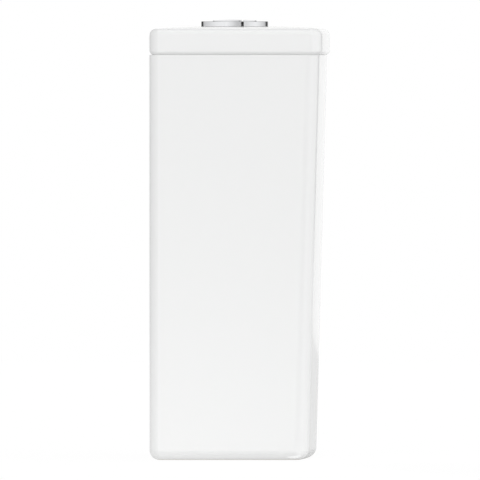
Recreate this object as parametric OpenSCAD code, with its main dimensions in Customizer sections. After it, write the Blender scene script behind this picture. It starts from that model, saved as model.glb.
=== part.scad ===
// Close-coupled toilet cistern with a bowed front, a lift-off lid and a dual-flush push button.
// Millimetres, +Z up. The front faces -Y and the back stands against a wall at +Y.
// The origin is at the middle of the base, under the middle of the lid.

/* [Tank] */
// Width across the rim
tank_w = 360; // [330:1:420]
// Depth at the rim, from the wall face to the middle of the bowed front
tank_d = 160.5; // [152:0.5:200]
// Height from the base to the rim
tank_h = 365; // [350:1:420]
// How far each side draws in from the rim to the base
side_taper = 10; // [0:0.5:14]
// How far the front draws in from the rim to the base
front_taper = 10; // [0:0.5:14]
// Thickness of the walls
wall_t = 10; // [8:0.5:13]
// Thickness of the floor
floor_t = 12; // [9:0.5:16]
// Height of the hollow under the floor, which hides the fixings
recess_h = 48; // [46:1:60]
// Width of the foot that runs round the hollow
foot_w = 18; // [15:0.5:20]
// Radius of the upright rear corners
rear_corner_r = 8; // [5:0.5:14]
// Radius of the upright front corners of the tank and the lid
front_corner_r = 14; // [12:1:34]
// Rise of the bowed front over its full width
front_bow = 8.5; // [3:0.5:14]
// Radius of the bottom edge
base_edge_r = 9; // [4:0.5:11]
// Radius of both edges of the rim
rim_edge_r = 0.8; // [0.5:0.1:3]
// Radius where the walls meet the floor
floor_edge_r = 8; // [4:0.5:12]

/* [Lid] */
// Height of the lid at its edge
lid_h = 23.5; // [20:0.1:34]
// Rise of the lid's top above its edge
lid_crown = 1.9; // [0.6:0.1:4]
// How far the lid stands out past the tank at the front and sides
lid_overhang = 2.5; // [0:0.5:6]
// Thickness of the lid's top
lid_t = 10; // [8:0.5:12]
// Thickness of the lid's skirt
lid_skirt_t = 11; // [9:0.5:12]
// Radius of the lid's top edge
lid_top_edge_r = 6; // [3:0.5:9]
// Radius of the lid's lower edge
lid_low_edge_r = 3.6; // [1:0.2:4]
// Height of the lugs that reach down inside the rim
lug_h = 6; // [3:0.5:10]

/* [Push button] */
// Outside diameter of the chrome ring
bezel_d = 61; // [57:0.5:66]
// Height of the chrome ring above the lid
bezel_h = 4.4; // [4:0.2:8]
// Diameter of the pair of buttons
button_d = 40; // [38:0.5:44]
// Travel of each button
button_travel = 8; // [5:0.5:9]
// Distance of the split line in front of the button's middle
button_split = 7; // [6:0.5:8]
// Gap along the split line
split_gap = 0.8; // [0.4:0.1:1.4]
// Rise of the domed buttons above the ring
button_dome = 1.8; // [1:0.1:3]
// Diameter of the push rods
rod_d = 5; // [4:0.2:5.4]
// Length of the return springs
spring_len = 22; // [18:0.5:26]

/* [Flush valve] */
// Distance of the valve's axis in front of the middle of the base
valve_forward = 1.5; // [0:0.5:4]
// Bore of the outlet tail
outlet_d = 50; // [46:1:52]
// Outside diameter of the outlet tail
tail_d = 59.6; // [57:0.2:62]
// Length of outlet tail below the floor
tail_len = 38; // [34:1:42]
// Diameter of the flange that clamps on the floor
base_flange_d = 86; // [84:1:90]
// Height of the water windows
window_h = 35; // [30:1:45]
// Outside diameter of the overflow tube
tube_d = 34; // [32:0.5:35]
// Wall of the overflow tube
tube_wall = 2; // [1.5:0.1:3]
// Depth of the rocker pins below the rim
rocker_drop = 65; // [60:1:75]
// Distance from each rocker's pin to its pad and to its nose
rocker_arm = 20; // [18:0.5:24]
// Lift of the flush seal and of the half-flush sleeve
valve_lift = 8.4; // [8:0.2:9]
// Height of the half-flush ports above the floor
port_rise = 84; // [80:1:95]

/* [Fill valve] */
// Distance of each inlet hole from the side of the tank at the rim
inlet_side = 55; // [52:1:62]
// Outside diameter of the half-inch pipe thread
inlet_d = 20.9; // [20:0.1:21.5]
// Length of inlet tail below the floor
inlet_len = 42; // [36:1:44]
// Outside diameter of the drop tube
drop_d = 26; // [24:0.5:28]
// Outside diameter of the float
float_d = 60; // [52:1:64]
// Height of the float
float_h = 45; // [35:1:55]
// Travel of the float
float_travel = 10; // [6:0.5:11]
// Depth of the top of the valve head below the rim
head_drop = 65; // [60:1:75]

/* [Fixings] */
// Distance between the coupling bolts
bolt_spacing = 152; // [148:1:158]
// Diameter of the coupling bolts
bolt_d = 8; // [6:0.5:10]
// Length of coupling bolt below the floor
bolt_len = 44; // [34:1:45]
// Distance between the wall screw holes
wall_hole_spacing = 230; // [160:1:250]
// Depth of the wall screw holes below the rim
wall_hole_drop = 62; // [45:1:90]
// Diameter of the wall screw holes
wall_hole_d = 9; // [6:0.5:11]

/* [Hidden] */
$fn = 64;
// Overshoot that lets a cut run clear of a face, or one solid run into the next
over = 1;
// Gap between faces that part when something moves
touch_gap = 0.3;
// Radial gap of a piece clamped or clipped round another
clip_gap = 0.1;
// Radial gap of a pin in its hole
pin_gap = 0.05;
// Radial gap of a piece that slides on a tube or in a sleeve
slide_gap = 0.4;

// Steps along each corner, along the bow and round each edge
corner_steps = 6;
bow_steps = 10;
edge_steps = 5;
rim_steps = 3;
crown_steps = 8;
// Smallest corner radius on a drawn-in outline
min_corner_r = 3;
// How much the hollow under the floor and the hollow of the lid draw in towards their tops
recess_draft = 3;
lid_draft = 3;
// Share of the lid's top that is flat under the button, and the power that holds the crown up to its ends
crown_flat = 0.45;
crown_end = 8;

// Levels and faces of the china
back_y = (tank_d + lid_overhang)/2;
rim_front_y = back_y - tank_d;
floor_z = recess_h + floor_t;
lid_z = tank_h;
lid_edge_z = lid_z + lid_h;
lid_top_z = lid_edge_z + lid_crown;
lid_ceiling_z = lid_edge_z - lid_t;
valve_y = back_y - (tank_d - front_taper)/2 - valve_forward;
inlet_x = tank_w/2 - inlet_side;

// Lugs under the lid
lug_t = 7;
lug_len = 40;
lug_gap = 2;
lug_x = 100;

// Button set, from the top down
button_r = button_d/2;
button_bore_r = button_r + slide_gap;
bezel_wall = 2;
sleeve_r = button_bore_r + bezel_wall;
lid_hole_gap = 0.8;
lid_hole_r = sleeve_r + lid_hole_gap;
gasket_t = 0.6;
gasket_inset = 4;
gasket_r = bezel_d/2 - gasket_inset;
lip_gap = 0.15;
lip_r = gasket_r + slide_gap;
lip_z = lid_top_z + lip_gap;
bezel_edge_r = 0.8;
bezel_z = lid_top_z + gasket_t;
bezel_top_z = bezel_z + bezel_h;
dome_edge_h = 0.6;
plate_t = 3;
plate_z = bezel_top_z - plate_t;
web_t = 2.5;
web_top_z = plate_z - spring_len;
web_z = web_top_z - web_t;
skirt_t = 2;
skirt_h = 6;
boss_wall = 1.5;
boss_r = rod_d/2 + boss_wall;
boss_h = 8;
locknut_h = 8;
locknut_w = 9;
locknut_r = sleeve_r + locknut_w;
grip_notches = 10;
grip_r = 3;
full_rod_v = 6;
boss_edge = 1;
half_rod_v = -(button_split + split_gap/2 + boss_r + boss_edge);
rod_r = rod_d/2;
rod_stop_w = 2.5;
rod_stop_r = rod_r + rod_stop_w;
rod_stop_h = 2.5;
spring_wire = 1;
spring_r = boss_r + spring_wire/2 + slide_gap;
spring_turns = 6;

// Flush valve, from the floor up
washer_t = 3;
flange_t = 4;
seat_h = 4;
seat_w = 3.5;
throat_step = 1;
throat_r = outlet_d/2 - throat_step;
tail_r = tail_d/2;
base_flange_r = base_flange_d/2;
outlet_hole_gap = 2;
outlet_hole_r = tail_r + outlet_hole_gap;
flange_z = floor_z + washer_t;
flange_top_z = flange_z + flange_t;
seat_z = flange_top_z + seat_h;
tail_z = recess_h - tail_len;
flange_lip = 3;
cage_t = 7;
cage_out_r = base_flange_r - flange_lip;
cage_in_r = cage_out_r - cage_t;
post_w = 9;
posts = 6;
collar_z = flange_top_z + window_h;
collar_h = 8;
collar_top_z = collar_z + collar_h;
clip_skirt_t = 2.7;
clip_drop = 6;
backnut_h = 12;
backnut_w = 12;
backnut_r = tail_r + backnut_w;
backnut_notches = 8;
doughnut_h = 22;
doughnut_w = 16;
doughnut_r = tail_r + doughnut_w;

tube_r = tube_d/2;
tube_bore_r = tube_r - tube_wall;
seal_t = 3;
seal_z = seat_z + touch_gap;
seal_top_z = seal_z + seal_t;
seal_lap = 5.5;
seal_r = outlet_d/2 + seal_lap;
retainer_gap = 2.5;
retainer_r = throat_r - retainer_gap;
retainer_h = 3;
disc_t = 3;
seal_lip = 2;
disc_r = seal_r - seal_lip;
bell_gap = 4;
bell_h = 38;
bell_clear = 3;
bell_r = cage_in_r - bell_clear;
bell_wall = 2;

pivot_z = tank_h - rocker_drop;
rocker_t = 5;
rocker_w = 9;
rocker_tip = 5;
hub_r = 5;
pivot_pin_r = 2.5;
overflow_clear = 11;
overflow_z = pivot_z - rocker_t - button_travel - valve_lift - overflow_clear;

column_v = cage_in_r;
column_t = 5;
column_hw = 14;
cheek_end = 8;
head_hw = rocker_arm + cheek_end;
head_low = 10;
head_rise = 12;
guide_t = 6;
guide_drop = 33;
guide_z = overflow_z - guide_drop;
guide_w = 5;
guide_hw = tube_r + guide_w;

port_z = floor_z + port_rise;
port_h = 8;
port_w = 14;
ports = 3;
sleeve_wall = 2.2;
half_sleeve_in_r = tube_r + slide_gap;
half_sleeve_r = half_sleeve_in_r + sleeve_wall;
half_stop_h = 3;
port_lap = 2;
half_sleeve_z = port_z - port_lap;
half_sleeve_h = 56;
half_float_r = bell_r;
half_float_z = half_sleeve_z + port_h + 2*port_lap;
half_float_h = 32;
hook_t = 3;
hook_ring_h = 8;
hook_ring_t = 3.6;
hook_tab = 9;
hook_clear = 2;
hook_x = rocker_arm*2 + hook_clear;
full_hook_z = guide_z + guide_t + valve_lift;
half_hook_z = half_sleeve_z + half_sleeve_h - hook_ring_h;

// Fill valve, from the tail up
nut_h = 10;
inlet_r = inlet_d/2;
nut_w = 8;
nut_r = inlet_r + nut_w;
inlet_hole_gap = 1.2;
inlet_hole_r = inlet_r + inlet_hole_gap;
inlet_z = recess_h - inlet_len;
// Depth by which a shank is slimmer than its thread, and the thread's end below its nut
shank_relief = 0.3;
thread_end = 1;
shank_r = inlet_r - shank_relief;
thread_z = recess_h - nut_h - thread_end;
waterway_r = 4.5;
strainer_seat_r = 7;
strainer_seat_h = 2;
strainer_wall = 1;
strainer_len = 24;
shank_flange_r = 18;
riser_r = 9;
drop_r = drop_d/2;
drop_wall = 2;
drop_gap = 6;
drop_z = flange_top_z + drop_gap;
slot_w = 6;
slot_h = 14;
head_r = 17;
head_h = 38;
head_top_z = tank_h - head_drop;
head_z = head_top_z - head_h;
socket_h = 18;
head_skirt_h = 10;
chamber_r = 13;
chamber_h = 4;
diaphragm_t = 2.5;
cap_t = 4;
cap_skirt_t = 2.4;
cap_skirt_h = 8;
cap_r = head_r + clip_gap + cap_skirt_t;
cap_top_z = head_top_z + cap_t;
pilot_r = 0.8;
nipple_r = 2.5;
nipple_h = 0.7;
ear_t = 3;
lever_rise = 6;
lever_pivot_z = cap_top_z + lever_rise;
lever_pivot_x = 6;
lever_arm = 22;
lever_t = 4;
lever_w = 8;
lever_tail = 10;
lever_tip = 5;
lever_hub_r = 3.5;
lever_hub_len = 10.4;
lever_pin_r = 1.5;
pilot_seal_t = 1.5;
float_r = float_d/2;
float_wall = 2;
float_in_r = drop_r + slide_gap;
float_clear = 2;
float_z = head_z - head_skirt_h - float_travel - float_clear - float_h;
link_x = lever_pivot_x + lever_arm;
link_r = 2;
link_ear_r = 6;
link_ear_h = 12;
adjuster_h = 6;
adjuster_r = 6;

// Coupling bolts, from the head down
bolt_r = bolt_d/2;
bolt_neck_r = bolt_r - shank_relief;
bolt_hole_gap = 1.6;
bolt_hole_r = bolt_r + bolt_hole_gap;
bolt_head_r = 9;
bolt_head_h = 5;
rubber_t = 5;
rubber_r = 12;
rubber_spigot = 6;
steel_washer_t = 1.6;
steel_washer_r = 11;
bolt_nut_h = 6.5;
bolt_nut_r = 7.5;
bolt_nut_z = recess_h - steel_washer_t - bolt_nut_h;

white_china = [0.95, 0.95, 0.94];
white_plastic = [0.90, 0.91, 0.91];
grey_plastic = [0.62, 0.65, 0.68];
blue_plastic = [0.16, 0.38, 0.66];
green_plastic = [0.25, 0.56, 0.42];
chrome = [0.80, 0.81, 0.83];
steel = [0.66, 0.67, 0.68];
brass = [0.76, 0.62, 0.33];
black_rubber = [0.09, 0.09, 0.10];
grey_foam = [0.23, 0.23, 0.25];
red_silicone = [0.68, 0.20, 0.16];

// Points along an arc about c
function arc(c, r, a0, a1, n) =
    [for (i = [0:n]) let (a = a0 + (a1 - a0)*i/n) [c[0] + r*cos(a), c[1] + r*sin(a)]];

// Plan outline with a flat back, flat sides, round corners and a bowed front
function outline(half_w, back, front, rear_r, front_r) =
    let (bow_r = (half_w*half_w + front_bow*front_bow)/(2*front_bow),
         bow_y = front + bow_r,
         lean = asin((half_w - front_r)/(bow_r - front_r)),
         corner_y = bow_y - (bow_r - front_r)*cos(lean))
    concat(
        arc([half_w - rear_r, back - rear_r], rear_r, 0, 90, corner_steps),
        arc([rear_r - half_w, back - rear_r], rear_r, 90, 180, corner_steps),
        arc([front_r - half_w, corner_y], front_r, 180, 270 - lean, corner_steps),
        [for (i = [1:bow_steps - 1]) let (a = 270 - lean + 2*lean*i/bow_steps)
            [bow_r*cos(a), bow_y + bow_r*sin(a)]],
        arc([half_w - front_r, corner_y], front_r, 270 + lean, 360, corner_steps));

// One slice of the tapered tank, drawn in from its outside by inset
function tank_ring(z, inset) =
    let (low = 1 - z/tank_h)
    [for (p = outline(tank_w/2 - side_taper*low - inset, back_y - inset,
                      rim_front_y + front_taper*low + inset,
                      max(rear_corner_r - inset, min_corner_r), max(front_corner_r - inset, min_corner_r)))
        [p[0], p[1], z]];

// One slice of the lid, drawn in from its outside by inset
function lid_ring(z, inset) =
    [for (p = outline(tank_w/2 + lid_overhang - inset, back_y - inset, rim_front_y - lid_overhang + inset,
                      max(rear_corner_r - inset, min_corner_r),
                      max(front_corner_r - inset, min_corner_r)))
        [p[0], p[1], z]];

// Face of a bowed front at x, from its half width and the face at its middle
function bowed_y(x, half_w, front) =
    let (bow_r = (half_w*half_w + front_bow*front_bow)/(2*front_bow))
    front + bow_r - sqrt(bow_r*bow_r - x*x);

// How far a share of the way out from the middle of the lid lies past the flat, towards the edge
function past_flat(share) = max(0, (share - crown_flat)/(1 - crown_flat));

// One slice of the lid's crowned top, at a share of the way out from its middle
function crown_ring(share) =
    let (half_w = tank_w/2 + lid_overhang - lid_top_edge_r,
         rear = back_y - lid_top_edge_r,
         front = rim_front_y - lid_overhang + lid_top_edge_r)
    [for (p = lid_ring(lid_edge_z, lid_top_edge_r))
        let (along = past_flat(share*abs(p[0])/half_w),
             across = past_flat(share*p[1]/(p[1] > 0 ? rear : bowed_y(p[0], half_w, front))))
        [share*p[0], share*p[1], p[2] + lid_crown*(1 - pow(along, crown_end))*(1 - pow(across, 2))]];

// Closed skin through a stack of slices that all have the same number of points
module loft(rings) {
    n = len(rings[0]);
    last = (len(rings) - 1)*n;
    polyhedron(
        points = [for (r = rings) each r],
        faces = concat(
            [[for (j = [0:n - 1]) j]],
            [for (i = [0:len(rings) - 2]) for (j = [0:n - 1])
                let (a = i*n + j, b = i*n + (j + 1) % n) each [[a, a + n, b + n], [a, b + n, b]]],
            [[for (j = [n - 1:-1:0]) last + j]]));
}

// Tube from z up, as a washer, collar or sleeve
module pipe(in_r, out_r, z, h) {
    translate([0, 0, z]) difference() {
        cylinder(r = out_r, h = h);
        translate([0, 0, -over]) cylinder(r = in_r, h = h + 2*over);
    }
}

// Box centred on x and y, from z up
module block(x, y, z, w, d, h) {
    translate([x - w/2, y - d/2, z]) cube([w, d, h]);
}

// Round bar along Y, centred on y
module cross_bar(x, z, r, len) {
    translate([x, len/2, z]) rotate([90, 0, 0]) cylinder(r = r, h = len);
}

module at_valve() { translate([0, valve_y, 0]) children(); }
module at_fill() { translate([-inlet_x, valve_y, 0]) children(); }
module at_plug() { translate([inlet_x, valve_y, 0]) children(); }
module at_bolts() { for (s = [-1, 1]) translate([s*bolt_spacing/2, valve_y, 0]) children(); }

// Slices of an edge that rounds from a level face out to an upright one, or back
function base_edge(r) = [for (i = [0:edge_steps]) let (a = 90*i/edge_steps)
    tank_ring(r*(1 - cos(a)), r*(1 - sin(a)))];
function rim_outer_edge(r) = [for (i = [0:rim_steps]) let (a = 90*i/rim_steps)
    tank_ring(tank_h - r*(1 - sin(a)), r*(1 - cos(a)))];
function rim_inner_edge(r) = [for (i = [0:rim_steps]) let (a = 90*i/rim_steps)
    tank_ring(tank_h - r*(1 - cos(a)), wall_t - r*(1 - sin(a)))];
function floor_edge(r) = [for (i = [0:edge_steps]) let (a = 90*i/edge_steps)
    tank_ring(floor_z + r*(1 - sin(a)), wall_t + r*(1 - cos(a)))];

// China tank: hollow under the floor, foot, outside, rim, inside and floor in one skin, then the holes
module cistern_tank() {
    color(white_china) difference() {
        loft(concat(
            [tank_ring(recess_h, foot_w + recess_draft), tank_ring(0, foot_w)],
            base_edge(base_edge_r),
            rim_outer_edge(rim_edge_r),
            rim_inner_edge(rim_edge_r),
            floor_edge(floor_edge_r)));
        at_valve() translate([0, 0, recess_h - over]) cylinder(r = outlet_hole_r, h = floor_t + 2*over);
        at_bolts() translate([0, 0, recess_h - over]) cylinder(r = bolt_hole_r, h = floor_t + 2*over);
        at_fill() translate([0, 0, recess_h - over]) cylinder(r = inlet_hole_r, h = floor_t + 2*over);
        at_plug() translate([0, 0, recess_h - over]) cylinder(r = inlet_hole_r, h = floor_t + 2*over);
        for (s = [-1, 1])
            translate([s*wall_hole_spacing/2, back_y - wall_t - over, tank_h - wall_hole_drop])
                rotate([-90, 0, 0]) cylinder(d = wall_hole_d, h = wall_t + 2*over);
    }
}

// China lid: hollow underneath, with a gently crowned top, locating lugs and the button's hole
module cistern_lid() {
    lug_z = lid_z - lug_h;
    lug_top = lid_ceiling_z + over - lug_z;
    side_x = tank_w/2 - wall_t - lug_gap - lug_t/2;
    rear_y = back_y - wall_t - lug_gap - lug_t/2;
    inner_front_y = bowed_y(lug_x + lug_len/2, tank_w/2 - wall_t, rim_front_y + wall_t);
    front_y = inner_front_y + lug_gap + lug_t/2;
    color(white_china) difference() {
        union() {
            loft(concat(
                [lid_ring(lid_ceiling_z, lid_skirt_t + lid_draft), lid_ring(lid_z, lid_skirt_t)],
                [for (i = [0:rim_steps]) let (a = 90*i/rim_steps, r = lid_low_edge_r)
                    lid_ring(lid_z + r*(1 - cos(a)), r*(1 - sin(a)))],
                [for (i = [0:edge_steps]) let (a = 90*i/edge_steps, r = lid_top_edge_r)
                    lid_ring(lid_edge_z - r*(1 - sin(a)), r*(1 - cos(a)))],
                [for (i = [1:crown_steps]) crown_ring(1 - (1 - crown_flat)*i/crown_steps)]));
            for (s = [-1, 1]) {
                block(s*side_x, valve_y, lug_z, lug_t, lug_len, lug_top);
                block(s*lug_x, rear_y, lug_z, lug_len, lug_t, lug_top);
                block(s*lug_x, front_y, lug_z, lug_len, lug_t, lug_top);
            }
        }
        at_valve() translate([0, 0, lid_ceiling_z - over])
            cylinder(r = lid_hole_r, h = lid_top_z - lid_ceiling_z + 2*over);
    }
}

// Chrome ring with a lip round its foam, a threaded sleeve through the lid and a web that guides the rods
module button_bezel() {
    r = bezel_d/2;
    e = bezel_edge_r;
    color(chrome) at_valve() difference() {
        rotate_extrude() polygon(concat(
            [[0, web_z], [sleeve_r, web_z], [sleeve_r, bezel_z]],
            [[lip_r, bezel_z], [lip_r, lip_z], [r, lip_z]],
            arc([r - e, bezel_top_z - e], e, 0, 90, rim_steps),
            arc([button_bore_r + e, bezel_top_z - e], e, 90, 180, rim_steps),
            [[button_bore_r, web_top_z], [0, web_top_z]]));
        for (v = [full_rod_v, half_rod_v])
            translate([0, v, web_z - over]) cylinder(r = rod_r + slide_gap, h = web_t + 2*over);
    }
}

// Foam ring that keeps the chrome off the glaze
module bezel_gasket() {
    color(black_rubber) at_valve() pipe(lid_hole_r, gasket_r, lid_top_z, gasket_t);
}

// Ring nut that draws the sleeve up against the underside of the lid
module button_locknut() {
    z = lid_ceiling_z - locknut_h;
    color(white_plastic) at_valve() difference() {
        pipe(sleeve_r + clip_gap, locknut_r, z, locknut_h);
        for (i = [0:grip_notches - 1]) rotate(360*i/grip_notches)
            translate([locknut_r + grip_r/2, 0, z - over]) cylinder(r = grip_r, h = locknut_h + 2*over);
    }
}

// Domed disc with a short skirt, before it is split into the two buttons
module button_disc() {
    rise = button_dome - dome_edge_h;
    dome_r = (button_r*button_r + rise*rise)/(2*rise);
    half_angle = asin(button_r/dome_r);
    rotate_extrude() polygon(concat(
        [[0, plate_z], [button_r - skirt_t, plate_z], [button_r - skirt_t, plate_z - skirt_h],
         [button_r, plate_z - skirt_h]],
        arc([0, bezel_top_z + button_dome - dome_r], dome_r, 90 - half_angle, 90, edge_steps)));
}

// One button: its share of the disc, from v0 to v1 along the depth, with a boss for its rod
module push_button(v0, v1, rod_v) {
    z = plate_z - skirt_h - over;
    color(chrome) at_valve() difference() {
        union() {
            intersection() {
                button_disc();
                block(0, (v0 + v1)/2, z, 2*button_d, v1 - v0, 2*button_d);
            }
            translate([0, rod_v, plate_z - boss_h]) cylinder(r = boss_r, h = boss_h + over);
        }
        translate([0, rod_v, plate_z - boss_h - over]) cylinder(r = rod_r + pin_gap, h = boss_h + over);
    }
}

module full_flush_button() { push_button(split_gap/2 - button_split, button_d, full_rod_v); }
module half_flush_button() { push_button(-button_d, -button_split - split_gap/2, half_rod_v); }

// Push rod from the boss down to the rocker's pad, with a collar that stops it under the web
module push_rod(v) {
    tip_z = pivot_z + touch_gap;
    color(white_plastic) at_valve() translate([0, v, 0]) {
        rotate_extrude() polygon(concat(
            arc([0, tip_z + rod_r], rod_r, 270, 360, edge_steps),
            [[rod_r, web_z - touch_gap - rod_stop_h], [rod_stop_r, web_z - touch_gap - rod_stop_h],
             [rod_stop_r, web_z - touch_gap], [rod_r, web_z - touch_gap], [rod_r, plate_z], [0, plate_z]]));
    }
}

module full_flush_rod() { push_rod(full_rod_v); }
module half_flush_rod() { push_rod(half_rod_v); }

// Return spring: one wire along a helix between the web and the button
spring_sides = 6;
spring_rings = 8;
spring_low_z = web_top_z + spring_wire/2 + clip_gap;
spring_rise = spring_len - spring_wire - 2*clip_gap;
function spring_point(t) =
    [spring_r*cos(360*spring_turns*t), spring_r*sin(360*spring_turns*t), spring_low_z + spring_rise*t];
function spring_ring(t) =
    let (a = 360*spring_turns*t, p = spring_point(t),
         slope = atan(spring_rise/(2*PI*spring_r*spring_turns)), out = [cos(a), sin(a), 0],
         up = [sin(a)*sin(slope), -cos(a)*sin(slope), cos(slope)])
    [for (k = [0:spring_sides - 1]) let (b = 360*k/spring_sides)
        p + spring_wire/2*(cos(b)*out + sin(b)*up)];
spring_steps = spring_turns*spring_rings;
// Least gap between points of the wire that lie more than half a turn apart
spring_gap = min([for (i = [0:spring_steps]) for (j = [i + spring_rings/2 + 1:1:spring_steps])
    norm(spring_point(i/spring_steps) - spring_point(j/spring_steps))]) - spring_wire;
echo(spring_gap = spring_gap);

module return_spring(v) {
    color(steel) at_valve() translate([0, v, 0])
        loft([for (i = [0:spring_steps]) spring_ring(i/spring_steps)]);
}

module full_flush_spring() { return_spring(full_rod_v); }
module half_flush_spring() { return_spring(half_rod_v); }

// Valve body: outlet tail, flange, seat and a cage of posts round the water windows
module valve_base() {
    color(white_plastic) at_valve() {
        rotate_extrude() polygon([
            [outlet_d/2, tail_z], [tail_r, tail_z], [tail_r, flange_z], [base_flange_r, flange_z],
            [base_flange_r, flange_top_z], [throat_r + seat_w, flange_top_z], [throat_r + seat_w, seat_z],
            [throat_r, seat_z], [throat_r, flange_z], [outlet_d/2, flange_z]]);
        pipe(cage_in_r, cage_out_r, collar_z, collar_h);
        intersection() {
            pipe(cage_in_r, cage_out_r, flange_top_z - over, window_h + 2*over);
            for (i = [0:posts - 1]) rotate(360*i/posts)
                block((cage_in_r + cage_out_r)/2, 0, flange_top_z - over,
                      2*(cage_out_r - cage_in_r), post_w, window_h + 2*over);
        }
    }
}

// Rubber washer between the valve body and the floor
module base_washer() {
    color(black_rubber) at_valve() pipe(tail_r + clip_gap, base_flange_r - over, floor_z, washer_t);
}

// Ring nut that clamps the valve body from under the floor
module valve_backnut() {
    z = recess_h - backnut_h;
    color(grey_plastic) at_valve() difference() {
        pipe(tail_r + clip_gap, backnut_r, z, backnut_h);
        for (i = [0:backnut_notches - 1]) rotate(360*i/backnut_notches)
            translate([backnut_r + grip_r/2, 0, z - over]) cylinder(r = grip_r, h = backnut_h + 2*over);
    }
}

// Foam ring that seals the tail to the pan
module coupling_doughnut() {
    z = recess_h - backnut_h - doughnut_h;
    lip = doughnut_h/4;
    color(grey_foam) at_valve() rotate_extrude() polygon([
        [tail_r + clip_gap, z], [doughnut_r - lip, z], [doughnut_r, z + lip],
        [doughnut_r, z + doughnut_h - lip],
        [doughnut_r - lip, z + doughnut_h], [tail_r + clip_gap, z + doughnut_h]]);
}

// Tower: clip ring on the cage, two columns, the tube's guide and the cheeks for the rocker pins
module valve_tower() {
    clip_in_r = cage_out_r + clip_gap;
    clip_out_r = clip_in_r + clip_skirt_t;
    head_z = pivot_z - head_low;
    color(white_plastic) at_valve() difference() {
        union() {
            rotate_extrude() polygon([
                [cage_in_r, collar_top_z], [clip_in_r, collar_top_z], [clip_in_r, collar_top_z - clip_drop],
                [clip_out_r, collar_top_z - clip_drop], [clip_out_r, collar_top_z + collar_h],
                [cage_in_r, collar_top_z + collar_h]]);
            for (s = [-1, 1]) {
                v = s*(column_v + column_t/2);
                block(0, v, collar_top_z, 2*column_hw, column_t, head_z + over - collar_top_z);
                block(0, v, head_z, 2*head_hw, column_t, head_low + head_rise);
            }
            block(0, 0, guide_z, 2*guide_hw, 2*column_v + column_t, guide_t);
        }
        translate([0, 0, guide_z - over]) cylinder(r = tube_r + slide_gap, h = guide_t + 2*over);
        for (s = [-1, 1])
            cross_bar(s*rocker_arm, pivot_z, pivot_pin_r + pin_gap, 2*(column_v + column_t + over));
    }
}

// Two steel pins across the tower
module rocker_pins() {
    color(steel) at_valve()
        for (s = [-1, 1]) cross_bar(s*rocker_arm, pivot_z, pivot_pin_r, 2*(column_v + column_t));
}

// Overflow tube with the disc that carries the seal, a stop for the sleeve and the half-flush ports
module overflow_tube() {
    spigot_z = seal_z - retainer_h;
    stop_z = half_sleeve_z - touch_gap - half_stop_h;
    color(grey_plastic) at_valve() difference() {
        rotate_extrude() polygon([
            [tube_bore_r, spigot_z], [tube_r, spigot_z], [tube_r, seal_top_z], [disc_r, seal_top_z],
            [disc_r, seal_top_z + disc_t], [tube_r, seal_top_z + disc_t], [tube_r, stop_z],
            [half_sleeve_r, stop_z], [half_sleeve_r, stop_z + half_stop_h], [tube_r, stop_z + half_stop_h],
            [tube_r, overflow_z], [tube_bore_r, overflow_z]]);
        for (i = [0:ports - 1]) rotate(360*i/ports)
            block(tube_r, 0, port_z, 2*tube_r, port_w, port_h);
    }
}

// Silicone washer that closes on the seat
module flush_seal() {
    color(red_silicone) at_valve() pipe(tube_r + clip_gap, seal_r, seal_z, seal_t);
}

// Ring on the tube's spigot that holds the seal against the disc
module seal_retainer() {
    color(white_plastic) at_valve() pipe(tube_r + clip_gap, retainer_r, seal_z - retainer_h, retainer_h);
}

// Air bell, open underneath, that holds the tube up through a full flush
module full_flush_float() {
    z = seal_top_z + disc_t + bell_gap;
    color(blue_plastic) at_valve() rotate_extrude() polygon([
        [bell_r, z], [bell_r, z + bell_h], [tube_r + clip_gap, z + bell_h], [tube_r + clip_gap, z],
        [tube_r + clip_gap + bell_wall, z], [tube_r + clip_gap + bell_wall, z + bell_h - bell_wall],
        [bell_r - bell_wall, z + bell_h - bell_wall], [bell_r - bell_wall, z]]);
}

// Clip ring, arm, strip and tab through which a rocker lifts its valve; side is the way that it reaches
module lift_hook(side, v, ring_r, z) {
    tab_z = pivot_z + touch_gap;
    difference() {
        union() {
            translate([0, 0, z]) cylinder(r = ring_r + clip_gap + hook_ring_t, h = hook_ring_h);
            block(side*hook_x/2, v, z, hook_x, rocker_w, hook_t);
            block(side*(hook_x + hook_t/2), v, z, hook_t, rocker_w, tab_z + hook_t - z);
            block(side*(hook_x + (hook_t - hook_tab)/2), v, tab_z, hook_t + hook_tab, rocker_w, hook_t);
        }
        translate([0, 0, z - over]) cylinder(r = ring_r + clip_gap, h = hook_ring_h + 2*over);
    }
}

module full_lift_hook() {
    color(blue_plastic) at_valve() lift_hook(1, full_rod_v, tube_r, full_hook_z);
}

module half_lift_hook() {
    color(green_plastic) at_valve() lift_hook(-1, half_rod_v, half_sleeve_r, half_hook_z);
}

// Sleeve that covers the half-flush ports
module half_flush_sleeve() {
    color(white_plastic) at_valve() pipe(half_sleeve_in_r, half_sleeve_r, half_sleeve_z, half_sleeve_h);
}

// Ring float that holds the sleeve up through a half flush
module half_flush_float() {
    in_r = half_sleeve_r + clip_gap;
    z = half_float_z;
    color(green_plastic) at_valve() rotate_extrude() polygon([
        [half_float_r, z], [half_float_r, z + half_float_h], [in_r, z + half_float_h], [in_r, z],
        [in_r + bell_wall, z], [in_r + bell_wall, z + half_float_h - bell_wall],
        [half_float_r - bell_wall, z + half_float_h - bell_wall], [half_float_r - bell_wall, z]]);
}

// Rocker with a wide hub on its pin, a pad under the rod and a nose under the hook; side is its pin's side
module rocker(side, v) {
    hub_len = 2*(column_v - touch_gap);
    difference() {
        union() {
            cross_bar(side*rocker_arm, pivot_z, hub_r, hub_len);
            block(side*(rocker_arm - rocker_tip/2), v, pivot_z - rocker_t,
                  2*rocker_arm + rocker_tip, rocker_w, rocker_t);
        }
        cross_bar(side*rocker_arm, pivot_z, pivot_pin_r + pin_gap, hub_len + 2*over);
    }
}

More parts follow.
